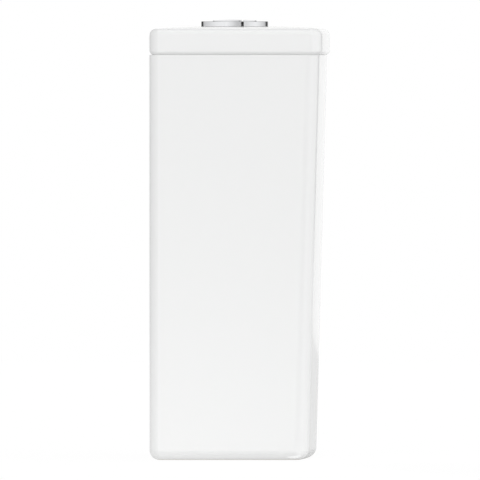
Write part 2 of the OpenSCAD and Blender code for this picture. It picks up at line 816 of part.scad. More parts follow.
module full_flush_rocker() { color(blue_plastic) at_valve() rocker(1, full_rod_v); }
module half_flush_rocker() { color(green_plastic) at_valve() rocker(-1, half_rod_v); }

// Threaded shank: tail, flange on the floor and riser, with the waterway through it
module fill_shank() {
    color(white_plastic) at_fill() rotate_extrude() polygon([
        [strainer_seat_r, inlet_z], [inlet_r, inlet_z], [inlet_r, thread_z], [shank_r, thread_z],
        [shank_r, flange_z], [shank_flange_r, flange_z], [shank_flange_r, flange_top_z],
        [riser_r, flange_top_z], [riser_r, head_z + socket_h],
        [waterway_r, head_z + socket_h], [waterway_r, inlet_z + strainer_seat_h],
        [strainer_seat_r, inlet_z + strainer_seat_h]]);
}

module shank_washer() {
    color(black_rubber) at_fill() pipe(inlet_r + clip_gap, shank_flange_r - over, floor_z, washer_t);
}

// Six-sided plastic nut under the floor
module inlet_nut(on_r) {
    difference() {
        translate([0, 0, recess_h - nut_h]) cylinder(r = nut_r, h = nut_h, $fn = 6);
        translate([0, 0, recess_h - nut_h - over]) cylinder(r = on_r + clip_gap, h = nut_h + 2*over);
    }
}

module shank_nut() { color(white_plastic) at_fill() inlet_nut(shank_r); }

// Strainer: a flanged thimble in the mouth of the waterway
module inlet_strainer() {
    r = waterway_r - clip_gap;
    color(brass) at_fill() rotate_extrude() polygon([
        [r - strainer_wall, inlet_z], [strainer_seat_r - clip_gap, inlet_z],
        [strainer_seat_r - clip_gap, inlet_z + strainer_seat_h], [r, inlet_z + strainer_seat_h],
        [r, inlet_z + strainer_len], [0, inlet_z + strainer_len],
        [0, inlet_z + strainer_len - strainer_wall],
        [r - strainer_wall, inlet_z + strainer_len - strainer_wall]]);
}

// Drop tube round the riser, with outlet slots near the floor; the float slides on it
module drop_tube() {
    color(grey_plastic) at_fill() difference() {
        pipe(drop_r - drop_wall, drop_r, drop_z, head_z - drop_z);
        for (a = [0, 90]) rotate(a) block(0, 0, drop_z - over, 2*drop_d, slot_w, slot_h + over);
    }
}

// Valve head: socket for the riser, skirt round the drop tube and a chamber for the diaphragm
module fill_head() {
    socket_r = riser_r + clip_gap;
    skirt_in_r = drop_r + clip_gap;
    color(white_plastic) at_fill() rotate_extrude() polygon([
        [skirt_in_r, head_z - head_skirt_h], [head_r, head_z - head_skirt_h], [head_r, head_top_z],
        [chamber_r, head_top_z], [chamber_r, head_top_z - chamber_h], [waterway_r, head_top_z - chamber_h],
        [waterway_r, head_z + socket_h], [socket_r, head_z + socket_h], [socket_r, head_z],
        [skirt_in_r, head_z]]);
}

// Rubber diaphragm in the chamber
module fill_diaphragm() {
    color(black_rubber) at_fill()
        pipe(pilot_r, chamber_r - clip_gap, head_top_z - chamber_h, diaphragm_t);
}

// Screw cap with the pilot nipple and two ears for the lever's pin
module fill_cap() {
    skirt_in_r = head_r + clip_gap;
    ear_v = (lever_hub_len + ear_t)/2 + touch_gap;
    color(grey_plastic) at_fill() difference() {
        union() {
            rotate_extrude() polygon([
                [pilot_r, head_top_z], [skirt_in_r, head_top_z], [skirt_in_r, head_top_z - cap_skirt_h],
                [cap_r, head_top_z - cap_skirt_h], [cap_r, cap_top_z], [nipple_r, cap_top_z],
                [nipple_r, cap_top_z + nipple_h], [pilot_r, cap_top_z + nipple_h]]);
            for (s = [-1, 1])
                block(lever_pivot_x, s*ear_v, cap_top_z - over, 2*lever_hub_r, ear_t,
                      lever_pivot_z + lever_hub_r + over - cap_top_z);
        }
        cross_bar(lever_pivot_x, lever_pivot_z, lever_pin_r + pin_gap, 2*cap_r);
    }
}

module lever_pin() {
    color(steel) at_fill()
        cross_bar(lever_pivot_x, lever_pivot_z, lever_pin_r, lever_hub_len + 2*(ear_t + touch_gap));
}

// Lever: the link rod lifts its long arm, and its tail closes the pilot nipple
module fill_lever() {
    color(blue_plastic) at_fill() difference() {
        union() {
            cross_bar(lever_pivot_x, lever_pivot_z, lever_hub_r, lever_hub_len);
            translate([lever_pivot_x - lever_tail, -lever_w/2, lever_pivot_z])
                cube([lever_tail + lever_arm + lever_tip, lever_w, lever_t]);
        }
        cross_bar(lever_pivot_x, lever_pivot_z, lever_pin_r + pin_gap, lever_hub_len + 2*over);
    }
}

// Rubber pad under the lever's tail
module pilot_seal() {
    color(black_rubber) at_fill()
        translate([0, 0, lever_pivot_z - pilot_seal_t]) cylinder(r = nipple_r, h = pilot_seal_t);
}

// Float: an inverted cup on the drop tube, with an ear for the link rod
module fill_float() {
    color(white_plastic) at_fill() difference() {
        union() {
            rotate_extrude() polygon([
                [float_r, float_z], [float_r, float_z + float_h], [float_in_r, float_z + float_h],
                [float_in_r, float_z], [float_in_r + float_wall, float_z],
                [float_in_r + float_wall, float_z + float_h - float_wall],
                [float_r - float_wall, float_z + float_h - float_wall], [float_r - float_wall, float_z]]);
            translate([link_x, 0, float_z + float_h - link_ear_h]) cylinder(r = link_ear_r, h = link_ear_h);
        }
        translate([link_x, 0, float_z + float_h - link_ear_h - over])
            cylinder(r = link_r + pin_gap, h = link_ear_h + 2*over);
    }
}

// Link rod from the float's ear up to the lever
module float_link_rod() {
    low_z = float_z + float_h - link_ear_h;
    color(grey_plastic) at_fill() translate([link_x, 0, 0]) rotate_extrude() polygon(concat(
        [[0, low_z], [link_r, low_z]],
        arc([0, lever_pivot_z - touch_gap - link_r], link_r, 0, 90, edge_steps)));
}

// Thumb nut that sets the water level
module float_adjuster() {
    color(blue_plastic) at_fill() translate([link_x, 0, float_z + float_h]) difference() {
        cylinder(r = adjuster_r, h = adjuster_h, $fn = 12);
        translate([0, 0, -over]) cylinder(r = link_r + pin_gap, h = adjuster_h + 2*over);
    }
}

// Two coupling bolts through the floor, threaded below their nuts
module coupling_bolts() {
    neck_z = bolt_nut_z - thread_end;
    color(steel) at_bolts() rotate_extrude() polygon([
        [0, recess_h - bolt_len], [bolt_r, recess_h - bolt_len], [bolt_r, neck_z], [bolt_neck_r, neck_z],
        [bolt_neck_r, floor_z + rubber_t],
        [bolt_head_r, floor_z + rubber_t], [bolt_head_r, floor_z + rubber_t + bolt_head_h],
        [0, floor_z + rubber_t + bolt_head_h]]);
}

// Rubber washers under the bolt heads, each with a spigot in its hole
module bolt_rubbers() {
    in_r = bolt_r + clip_gap;
    spigot_r = bolt_hole_r - clip_gap;
    color(black_rubber) at_bolts() rotate_extrude() polygon([
        [in_r, floor_z - rubber_spigot], [spigot_r, floor_z - rubber_spigot], [spigot_r, floor_z],
        [rubber_r, floor_z], [rubber_r, floor_z + rubber_t], [in_r, floor_z + rubber_t]]);
}

module bolt_washers() {
    z = recess_h - steel_washer_t;
    color(steel) at_bolts() pipe(bolt_r + clip_gap, steel_washer_r, z, steel_washer_t);
}

module bolt_nuts() {
    color(steel) at_bolts() difference() {
        translate([0, 0, bolt_nut_z]) cylinder(r = bolt_nut_r, h = bolt_nut_h, $fn = 6);
        translate([0, 0, bolt_nut_z - over]) cylinder(r = bolt_neck_r + clip_gap, h = bolt_nut_h + 2*over);
    }
}

// Plug in the inlet hole that is not used
module blanking_plug() {
    low_z = recess_h - nut_h - washer_t;
    color(white_plastic) at_plug() rotate_extrude() polygon([
        [0, low_z], [inlet_r, low_z], [inlet_r, flange_z], [shank_flange_r, flange_z],
        [shank_flange_r, flange_top_z], [0, flange_top_z]]);
}

module plug_washer() {
    color(black_rubber) at_plug() pipe(inlet_r + clip_gap, shank_flange_r - over, floor_z, washer_t);
}

module plug_nut() { color(white_plastic) at_plug() inlet_nut(inlet_r); }

cistern_tank();
cistern_lid();
button_bezel();
bezel_gasket();
button_locknut();
full_flush_button();
half_flush_button();
full_flush_rod();
half_flush_rod();
full_flush_spring();
half_flush_spring();
valve_base();
base_washer();
valve_backnut();
coupling_doughnut();
valve_tower();
rocker_pins();
overflow_tube();
flush_seal();
seal_retainer();
full_flush_float();
full_lift_hook();
half_flush_sleeve();
half_flush_float();
half_lift_hook();
full_flush_rocker();
half_flush_rocker();
fill_shank();
shank_washer();
shank_nut();
inlet_strainer();
drop_tube();
fill_head();
fill_diaphragm();
fill_cap();
lever_pin();
fill_lever();
pilot_seal();
fill_float();
float_link_rod();
float_adjuster();
coupling_bolts();
bolt_rubbers();
bolt_washers();
bolt_nuts();
blanking_plug();
plug_washer();
plug_nut();
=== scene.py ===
"""Close-coupled toilet cistern: white china tank and lid, chrome push button, and the valves inside."""
import math

import bmesh
import bpy
from mathutils import Matrix, Vector


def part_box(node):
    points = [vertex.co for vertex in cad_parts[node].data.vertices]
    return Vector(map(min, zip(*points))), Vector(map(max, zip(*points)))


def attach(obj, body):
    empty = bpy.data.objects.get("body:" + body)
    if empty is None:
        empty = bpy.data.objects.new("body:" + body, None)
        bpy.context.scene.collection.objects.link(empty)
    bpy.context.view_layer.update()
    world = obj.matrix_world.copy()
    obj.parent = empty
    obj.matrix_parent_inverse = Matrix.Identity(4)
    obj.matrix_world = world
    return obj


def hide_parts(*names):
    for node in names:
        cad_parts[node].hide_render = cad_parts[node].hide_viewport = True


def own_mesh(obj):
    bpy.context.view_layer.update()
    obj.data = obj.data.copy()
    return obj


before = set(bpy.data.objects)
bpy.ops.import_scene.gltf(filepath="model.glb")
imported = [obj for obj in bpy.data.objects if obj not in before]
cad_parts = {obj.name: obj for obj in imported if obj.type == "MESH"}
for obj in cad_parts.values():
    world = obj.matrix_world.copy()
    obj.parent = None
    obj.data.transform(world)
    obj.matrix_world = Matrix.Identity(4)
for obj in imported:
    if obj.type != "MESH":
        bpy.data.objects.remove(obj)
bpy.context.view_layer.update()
scene = bpy.context.scene

# China tank. Slip-cast vitreous china with a thick white glaze all over, apart from the flat foot
# that it stood on in the kiln. The sides and the bowed front lean in towards the base, and a hollow
# under the floor hides the fixings.
lid_low, lid_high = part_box("cistern_lid")
tank_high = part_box("cistern_tank")[1]
ring_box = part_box("button_bezel")
shank_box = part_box("fill_shank")
lid_overhang = 0.0025
rim_half_w = lid_high.x - lid_overhang
rim_front_y = lid_low.y + lid_overhang
back_y = tank_high.y
rim_z = tank_high.z
valve_y = (ring_box[0].y + ring_box[1].y) / 2
inlet_x = -(shank_box[0].x + shank_box[1].x) / 2
recess_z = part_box("valve_backnut")[1].z
floor_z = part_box("base_washer")[0].z
side_taper = 0.010
front_taper = 0.010
wall_t = 0.010
foot_w = 0.018
recess_draft = 0.003
rear_corner_r = 0.008
front_corner_r = 0.014
front_bow = 0.0085
base_edge_r = 0.009
rim_edge_r = 0.0003
rim_inner_r = 0.0012
floor_edge_r = 0.008
least_corner_r = 0.003
outlet_hole_r = 0.0318
bolt_hole_r = 0.0056
bolt_x = 0.076
inlet_hole_r = 0.01165
wall_hole_r = 0.0045
wall_hole_x = 0.115
wall_hole_drop = 0.062
wall_hole_z = rim_z - wall_hole_drop
hole_edge_r = 0.0009
corner_steps = 14
bow_steps = 28
edge_steps = 10
small_edge_steps = 6
rim_steps = 4
edge_power = 1.6
cut_past = 0.010


def arc(centre_x, centre_y, radius, start, stop, steps):
    """Points along an arc in a plane, from one angle in degrees to another."""
    turns = [math.radians(start + (stop - start) * i / steps) for i in range(steps + 1)]
    return [(centre_x + radius * math.cos(t), centre_y + radius * math.sin(t)) for t in turns]


def soft_quarter(steps):
    """Points of a quarter turn of unit radius, a little flat in its middle, as glaze leaves an edge."""
    return [(c ** (2 / edge_power), s ** (2 / edge_power)) for c, s in arc(0, 0, 1, 0, 90, steps)]


def plan_outline(half_w, back, front, rear_r, front_r):
    """Plan of a slice: flat back and sides, round corners and a bowed front."""
    bow_r = (half_w**2 + front_bow**2) / (2 * front_bow)
    bow_y = front + bow_r
    lean = math.asin((half_w - front_r) / (bow_r - front_r))
    corner_y = bow_y - (bow_r - front_r) * math.cos(lean)
    tilt = math.degrees(lean)
    rear_x, rear_y = half_w - rear_r, back - rear_r
    rear = [(rear_x + rear_r * a, rear_y + rear_r * b) for a, b in soft_quarter(corner_steps)]
    return (
        rear
        + [(-x, y) for x, y in reversed(rear)]
        + arc(front_r - half_w, corner_y, front_r, 180, 270 - tilt, corner_steps)
        + arc(0, bow_y, bow_r, 270 - tilt, 270 + tilt, bow_steps)[1:-1]
        + arc(half_w - front_r, corner_y, front_r, 270 + tilt, 360, corner_steps)
    )


def tank_slice(z, inset):
    """One level of the tank, drawn in from its outside."""
    low = 1 - z / rim_z
    outline = plan_outline(
        rim_half_w - side_taper * low - inset,
        back_y - inset,
        rim_front_y + front_taper * low + inset,
        max(rear_corner_r - inset, least_corner_r),
        max(front_corner_r - inset, least_corner_r),
    )
    return [(x, y, z) for x, y in outline]


def add_piece(name, mesh):
    """Links a mesh into the scene as a piece of that name."""
    piece = bpy.data.objects.new(name, mesh)
    scene.collection.objects.link(piece)
    return piece


def skin(name, slices):
    """Closed mesh through a stack of slices, starting and ending with a flat face."""
    count = len(slices[0])
    top = (len(slices) - 1) * count
    faces = [tuple(reversed(range(count)))]
    for level in range(len(slices) - 1):
        for k in range(count):
            a = level * count + k
            b = level * count + (k + 1) % count
            faces.append((a, b, b + count, a + count))
    faces.append(tuple(range(top, top + count)))
    mesh = bpy.data.meshes.new(name)
    mesh.from_pydata([p for s in slices for p in s], [], faces)
    return add_piece(name, mesh)


def mesh_of(name, form):
    """Turns a finished form into a mesh."""
    mesh = bpy.data.meshes.new(name)
    form.to_mesh(mesh)
    form.free()
    return mesh


def bar(low, high, radius, steps=64):
    """Round bar between two points, for cutting and joining."""
    low, high = Vector(low), Vector(high)
    turn = (high - low).to_track_quat("Z", "Y").to_matrix().to_4x4()
    place = Matrix.Translation((low + high) / 2) @ turn
    length = (high - low).length
    form = bmesh.new()
    bmesh.ops.create_cone(
        form, cap_ends=True, segments=steps, radius1=radius, radius2=radius, depth=length, matrix=place
    )
    return mesh_of("bar", form)


def slab(low, high):
    """Box between two corners, for cutting and joining."""
    low, high = Vector(low), Vector(high)
    place = Matrix.Translation((low + high) / 2) @ Matrix.Diagonal((*(high - low), 1))
    form = bmesh.new()
    bmesh.ops.create_cube(form, size=1, matrix=place)
    return mesh_of("slab", form)


def carve(piece, operation, tools):
    """Cuts, joins or crops a piece with each of the tool meshes in turn."""
    for tool in tools:
        helper = add_piece("tool", tool)
        step = piece.modifiers.new("carve", "BOOLEAN")
        step.operation = operation
        step.solver = "EXACT"
        step.object = helper
        shown = piece.evaluated_get(bpy.context.evaluated_depsgraph_get())
        piece.data = bpy.data.meshes.new_from_object(shown)
        piece.modifiers.clear()
        bpy.data.objects.remove(helper)


def round_edges(piece, width, angle=50, segments=3):
    """Rounds the hard edges of a piece and keeps its flat faces even in the light."""
    if width:
        edge = piece.modifiers.new("round_edges", "BEVEL")
        edge.width = width
        edge.segments = segments
        edge.limit_method = "ANGLE"
        edge.angle_limit = math.radians(angle)
    even = piece.modifiers.new("even_light", "WEIGHTED_NORMAL")
    even.weight = 100


def finish_piece(piece, material, body, node, edge=0.0, angle=50):
    """Gives a new piece its material and edges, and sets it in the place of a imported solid."""
    piece.data.materials.append(material)
    piece.data.shade_smooth()
    round_edges(piece, edge, angle)
    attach(piece, body)
    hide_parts(node)


def add_node(tree, kind, settings=(), values=()):
    """New node with its settings, and values for its unlinked inputs."""
    node = tree.nodes.new(kind)
    for key, value in dict(settings).items():
        setattr(node, key, value)
    for key, value in dict(values).items():
        node.inputs[key].default_value = value
    return node


def effect(name, inputs, outputs):
    """Empty shader group with named inputs (name, kind, default) and outputs (name, kind)."""
    group = bpy.data.node_groups.new(name, "ShaderNodeTree")
    for label, kind, value in inputs:
        socket = group.interface.new_socket(label, in_out="INPUT", socket_type=kind)
        socket.default_value = value
    for label, kind in outputs:
        group.interface.new_socket(label, in_out="OUTPUT", socket_type=kind)
    return group, group.nodes.new("NodeGroupInput"), group.nodes.new("NodeGroupOutput")


def shade_drift():
    """Slow change of shade over a surface, as uneven glaze, moulding or handling gives."""
    group, given, result = effect(
        "shade_drift",
        [
            ("Colour", "NodeSocketColor", (1, 1, 1, 1)),
            ("Other Colour", "NodeSocketColor", (0, 0, 0, 1)),
            ("Patches Per Metre", "NodeSocketFloat", 20.0),
            ("Amount", "NodeSocketFloat", 0.1),
        ],
        [("Colour", "NodeSocketColor")],
    )
    place = add_node(group, "ShaderNodeTexCoord")
    cloud = add_node(group, "ShaderNodeTexNoise", (), {"Detail": 4.0, "Roughness": 0.55})
    spread = add_node(group, "ShaderNodeMapRange", (), {"From Min": 0.35, "From Max": 0.70})
    share = add_node(group, "ShaderNodeMath", {"operation": "MULTIPLY"})
    shades = add_node(group, "ShaderNodeMix", {"data_type": "RGBA"})
    group.links.new(place.outputs["Object"], cloud.inputs["Vector"])
    group.links.new(given.outputs["Patches Per Metre"], cloud.inputs["Scale"])
    group.links.new(cloud.outputs["Fac"], spread.inputs["Value"])
    group.links.new(spread.outputs["Result"], share.inputs[0])
    group.links.new(given.outputs["Amount"], share.inputs[1])
    group.links.new(share.outputs[0], shades.inputs["Factor"])
    group.links.new(given.outputs["Colour"], shades.inputs[6])
    group.links.new(given.outputs["Other Colour"], shades.inputs[7])
    group.links.new(shades.outputs[2], result.inputs["Colour"])
    return group


def fine_relief():
    """Fine uneven height for a bump, with a roughness that follows it."""
    group, given, result = effect(
        "fine_relief",
        [
            ("Grains Per Metre", "NodeSocketFloat", 1000.0),
            ("Smooth", "NodeSocketFloat", 0.3),
            ("Rough", "NodeSocketFloat", 0.4),
        ],
        [("Height", "NodeSocketFloat"), ("Roughness", "NodeSocketFloat")],
    )
    place = add_node(group, "ShaderNodeTexCoord")
    grain = add_node(group, "ShaderNodeTexNoise", (), {"Detail": 1.0, "Roughness": 0.5})
    spread = add_node(group, "ShaderNodeMapRange", (), {"From Min": 0.3, "From Max": 0.7})
    group.links.new(place.outputs["Object"], grain.inputs["Vector"])
    group.links.new(given.outputs["Grains Per Metre"], grain.inputs["Scale"])
    group.links.new(grain.outputs["Fac"], spread.inputs["Value"])
    group.links.new(given.outputs["Smooth"], spread.inputs["To Min"])
    group.links.new(given.outputs["Rough"], spread.inputs["To Max"])
    group.links.new(grain.outputs["Fac"], result.inputs["Height"])
    group.links.new(spread.outputs["Result"], result.inputs["Roughness"])
    return group


drift_group = shade_drift()
relief_group = fine_relief()


def surface(name, colours, patches, amount, grains, roughness, depth, sockets=()):
    """Material whose shade drifts between two colours over a fine relief of a given depth."""
    material = bpy.data.materials.new(name)
    material.use_nodes = True
    tree = material.node_tree
    shader = tree.nodes["Principled BSDF"]
    tint_values = {"Patches Per Metre": patches, "Amount": amount}
    tint_values["Colour"] = (*colours[0], 1)
    tint_values["Other Colour"] = (*colours[1], 1)
    relief_values = {"Grains Per Metre": grains, "Smooth": roughness[0], "Rough": roughness[1]}
    tint = add_node(tree, "ShaderNodeGroup", {"node_tree": drift_group}, tint_values)
    texture = add_node(tree, "ShaderNodeGroup", {"node_tree": relief_group}, relief_values)
    bump = add_node(tree, "ShaderNodeBump", (), {"Strength": 1.0, "Distance": depth})
    tree.links.new(tint.outputs["Colour"], shader.inputs["Base Color"])
    tree.links.new(texture.outputs["Roughness"], shader.inputs["Roughness"])
    tree.links.new(texture.outputs["Height"], bump.inputs["Height"])
    tree.links.new(bump.outputs["Normal"], shader.inputs["Normal"])
    for label, value in dict(sockets).items():
        shader.inputs[label].default_value = value
    return material


glaze_white = (0.905, 0.908, 0.905)
glaze_pool = (0.898, 0.902, 0.901)
bare_clay = (0.78, 0.74, 0.66)
bare_roughness = 0.75
bare_level = 0.0004
glaze = surface(
    "white_glaze", (glaze_white, glaze_pool),
    patches=14, amount=0.5, grains=35, roughness=(0.10, 0.11), depth=0.000004, sockets={"IOR": 1.52},
)


def leave_foot_bare(material):
    """Shows bare fired clay instead of glaze where the tank stood in the kiln."""
    tree = material.node_tree
    shader = tree.nodes["Principled BSDF"]
    place = add_node(tree, "ShaderNodeTexCoord")
    axes = add_node(tree, "ShaderNodeSeparateXYZ")
    under = add_node(tree, "ShaderNodeMath", {"operation": "LESS_THAN"}, {1: bare_level})
    tint = add_node(tree, "ShaderNodeMix", {"data_type": "RGBA"}, {7: (*bare_clay, 1)})
    rough = add_node(tree, "ShaderNodeMix", (), {3: bare_roughness})
    tree.links.new(place.outputs["Object"], axes.inputs[0])
    tree.links.new(axes.outputs["Z"], under.inputs[0])
    tree.links.new(under.outputs[0], tint.inputs[0])
    tree.links.new(under.outputs[0], rough.inputs[0])
    tree.links.new(shader.inputs["Base Color"].links[0].from_socket, tint.inputs[6])
    tree.links.new(shader.inputs["Roughness"].links[0].from_socket, rough.inputs[2])
    tree.links.new(tint.outputs[2], shader.inputs["Base Color"])
    tree.links.new(rough.outputs[0], shader.inputs["Roughness"])


leave_foot_bare(glaze)

base_edge = arc(0, 0, base_edge_r, 0, 90, 2 * edge_steps)
rim_edge = arc(0, 0, rim_edge_r, 0, 90, rim_steps)
rim_inner_edge = arc(0, 0, rim_inner_r, 0, 90, small_edge_steps)
floor_edge = arc(0, 0, floor_edge_r, 0, 90, edge_steps)
tank_levels = (
    [(recess_z, foot_w + recess_draft), (0, foot_w)]
    + [(base_edge_r - a, base_edge_r - b) for a, b in base_edge]
    + [(rim_z - rim_edge_r + b, rim_edge_r - a) for a, b in rim_edge]
    + [(rim_z - rim_inner_r + a, wall_t - rim_inner_r + b) for a, b in rim_inner_edge]
    + [(floor_z + floor_edge_r - b, wall_t + floor_edge_r - a) for a, b in floor_edge]
)
tank = skin("tank_china", [tank_slice(z, inset) for z, inset in tank_levels])
floor_holes = [(0, outlet_hole_r), (bolt_x, bolt_hole_r), (-bolt_x, bolt_hole_r)]
floor_holes += [(inlet_x, inlet_hole_r), (-inlet_x, inlet_hole_r)]
for x, hole_r in floor_holes:
    low, high = (x, valve_y, recess_z - cut_past), (x, valve_y, floor_z + cut_past)
    carve(tank, "DIFFERENCE", [bar(low, high, hole_r)])
for x in (-wall_hole_x, wall_hole_x):
    low, high = (x, back_y - wall_t - cut_past, wall_hole_z), (x, back_y + cut_past, wall_hole_z)
    carve(tank, "DIFFERENCE", [bar(low, high, wall_hole_r)])
finish_piece(tank, glaze, "tank", "cistern_tank", hole_edge_r)

# Flush valve body. Moulded resin pieces that stand on the floor of the tank: the threaded outlet with
# its cage, the tower clipped on it, and the ring nut below. Rubber and foam rings seal it to the china
# and to the pan.
node_edge = 0.0004
node_edge_angle = 40
node_edge_segments = 2
axis_reach = 1e-7
valve_axis = (0, valve_y)
tail_r = 0.0298
resin = {"patches": 30, "amount": 0.6, "grains": 1500}
metal = {"Metallic": 1.0}
white_resin = surface(
    "white_resin", ((0.80, 0.81, 0.81), (0.74, 0.75, 0.74)), **resin, roughness=(0.32, 0.44), depth=0.00002
)
grey_resin = surface(
    "grey_resin", ((0.36, 0.39, 0.43), (0.32, 0.35, 0.38)), **resin, roughness=(0.34, 0.46), depth=0.00002
)
blue_resin = surface(
    "blue_resin", ((0.035, 0.13, 0.38), (0.03, 0.11, 0.32)), **resin, roughness=(0.24, 0.34), depth=0.000015
)
green_resin = surface(
    "green_resin", ((0.05, 0.27, 0.15), (0.04, 0.22, 0.12)), **resin, roughness=(0.24, 0.34), depth=0.000015
)
rubber = surface(
    "black_rubber", ((0.016, 0.016, 0.018), (0.030, 0.030, 0.031)),
    patches=60, amount=0.8, grains=1200, roughness=(0.55, 0.75), depth=0.00004,
)
foam = surface(
    "dark_foam", ((0.040, 0.040, 0.045), (0.022, 0.022, 0.025)),
    patches=400, amount=0.9, grains=900, roughness=(0.80, 0.95), depth=0.0004,
)
zinc = surface(
    "bright_zinc", ((0.60, 0.61, 0.62), (0.46, 0.46, 0.47)),
    patches=250, amount=0.8, grains=1600, roughness=(0.22, 0.38), depth=0.00001, sockets=metal,
)


def dress(material, *nodes):
    """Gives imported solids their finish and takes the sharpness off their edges."""
    for name in nodes:
        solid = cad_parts[name]
        for place in solid.material_slots:
            place.material = material
        round_edges(solid, node_edge, node_edge_angle, node_edge_segments)


def lathe(name, profile, centres, steps=96, shape=None):
    """Solids turned about upright axes from a closed profile of (radius, height) points.

    shape may change the radius with the height and the angle, as a thread does."""
    form = bmesh.new()
    turns = [2 * math.pi * k / steps for k in range(steps)]
    for x, y in centres:
        rings = []
        for radius, z in profile:
            if radius < axis_reach:
                rings.append([form.verts.new((x, y, z))])
                continue
            reach = [shape(radius, z, t) if shape else radius for t in turns]
            points = [(x + r * math.cos(t), y + r * math.sin(t), z) for r, t in zip(reach, turns)]
            rings.append([form.verts.new(p) for p in points])
        for ring, following in zip(rings, rings[1:] + rings[:1]):
            for k in range(steps):
                near = [ring[k % len(ring)], ring[(k + 1) % len(ring)]]
                far = [following[(k + 1) % len(following)], following[k % len(following)]]
                corners = list(dict.fromkeys(near + far))
                if len(corners) > 2:
                    form.faces.new(corners)
    bmesh.ops.recalc_face_normals(form, faces=form.faces)
    return add_piece(name, mesh_of(name, form))


dress(rubber, "base_washer")
dress(white_resin, "valve_base", "valve_tower")
dress(grey_resin, "valve_backnut")
dress(zinc, "rocker_pins")
foam_low, foam_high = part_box("coupling_doughnut")
foam_r = (foam_high.x - foam_low.x) / 2
foam_play = 0.0001
foam_steps = 8
foam_bore_r = tail_r + foam_play
foam_edge_r = 0.006
foam_waist = 0.0008
foam_side_r = foam_r - foam_edge_r - foam_waist
foam_middle_z = (foam_low.z + foam_high.z) / 2
foam_profile = (
    [(foam_bore_r, foam_low.z)]
    + arc(foam_side_r, foam_low.z + foam_edge_r, foam_edge_r, 270, 360, foam_steps)
    + [(foam_r, foam_middle_z)]
    + arc(foam_side_r, foam_high.z - foam_edge_r, foam_edge_r, 0, 90, foam_steps)
    + [(foam_bore_r, foam_high.z)]
)
foam_ring = lathe("pan_seal_ring", foam_profile, [valve_axis])
finish_piece(foam_ring, foam, "tank", "coupling_doughnut")

# Lifting gear of the flush valve. The grey overflow tube carries a silicone seal and an air bell; the
# sleeve on it covers the half-flush ports. Blue pieces serve the full flush and green ones the half
# flush, each with a rocker on a pin.
silicone = surface(
    "red_silicone", ((0.42, 0.035, 0.025), (0.34, 0.03, 0.02)),
    patches=60, amount=0.7, grains=900, roughness=(0.38, 0.5), depth=0.00003,
)
dress(grey_resin, "overflow_tube")
dress(silicone, "flush_seal")
dress(white_resin, "seal_retainer", "half_flush_sleeve")
dress(blue_resin, "full_flush_float", "full_lift_hook", "full_flush_rocker")
dress(green_resin, "half_flush_float", "half_lift_hook", "half_flush_rocker")

# Fill valve. A resin shank with a half-inch pipe thread passes through the floor and carries the valve
# head. The float slides on the drop tube and lifts the blue lever, whose rubber pad shuts the pilot
# hole in the ribbed cap. A brass strainer sits in the mouth of the shank.
fill_axis = (-inlet_x, valve_y)
pipe_r = 0.01045
pipe_thread_pitch = 0.001814
pipe_thread_depth = 0.00085
pipe_thread_drop = 0.011
pipe_thread_top_z = recess_z - pipe_thread_drop
shank_neck_r = 0.01015
shank_flange_r = 0.018
shank_washer_t = 0.003
shank_flange_z = floor_z + shank_washer_t
shank_flange_t = 0.004
riser_r = 0.009
waterway_r = 0.0045
strainer_seat_r = 0.007
strainer_seat_h = 0.002
thread_lead = 0.0012
samples_per_pitch = 7
groove_top = 1.35
groove_slope = 2.7
shank_steps = 64
rib_count = 36
rib_r = 0.0005
rib_low_gap = 0.001
rib_high_gap = 0.0012
cap_wall_h = 0.012
brass = surface(
    "brass_gauze", ((0.66, 0.49, 0.22), (0.50, 0.37, 0.17)),
    patches=500, amount=0.8, grains=2500, roughness=(0.25, 0.45), depth=0.00004, sockets=metal,
)


def thread_shape(low_z, high_z, pitch, depth):
    """How far a screw thread cuts into a round bar between two heights; its ends run out smoothly."""

    def radius_at(radius, z, turn):
        if not low_z <= z <= high_z:
            return radius
        along = (z / pitch - turn / (2 * math.pi)) % 1
        groove = min(1, max(0, groove_top - groove_slope * abs(along - 0.5)))
        lead = min(1, (z - low_z) / thread_lead)
        runout = min(1, (high_z - z) / thread_lead)
        return radius - depth * max(groove * runout, 1 - lead)

    return radius_at


def thread_levels(low_z, high_z, pitch):
    """Heights at which a thread's flanks are drawn."""
    count = round((high_z - low_z) / pitch * samples_per_pitch)
    return [low_z + (high_z - low_z) * i / count for i in range(count + 1)]


shank_low_z, riser_top_z = shank_box[0].z, shank_box[1].z
shank_profile = (
    [(strainer_seat_r, shank_low_z)]
    + [(pipe_r, z) for z in thread_levels(shank_low_z, pipe_thread_top_z, pipe_thread_pitch)]
    + [(shank_neck_r, pipe_thread_top_z), (shank_neck_r, shank_flange_z), (shank_flange_r, shank_flange_z)]
    + [(shank_flange_r, shank_flange_z + shank_flange_t), (riser_r, shank_flange_z + shank_flange_t)]
    + [(riser_r, riser_top_z), (waterway_r, riser_top_z), (waterway_r, shank_low_z + strainer_seat_h)]
    + [(strainer_seat_r, shank_low_z + strainer_seat_h)]
)
pipe_thread = thread_shape(shank_low_z, pipe_thread_top_z, pipe_thread_pitch, pipe_thread_depth)
shank = lathe("threaded_shank", shank_profile, [fill_axis], shank_steps, pipe_thread)
finish_piece(shank, white_resin, "tank", "fill_shank")
dress(rubber, "shank_washer", "fill_diaphragm", "pilot_seal")
dress(white_resin, "shank_nut", "fill_head", "fill_float")
dress(brass, "inlet_strainer")
dress(grey_resin, "drop_tube", "fill_cap", "float_link_rod")
dress(zinc, "lever_pin")
dress(blue_resin, "fill_lever", "float_adjuster")

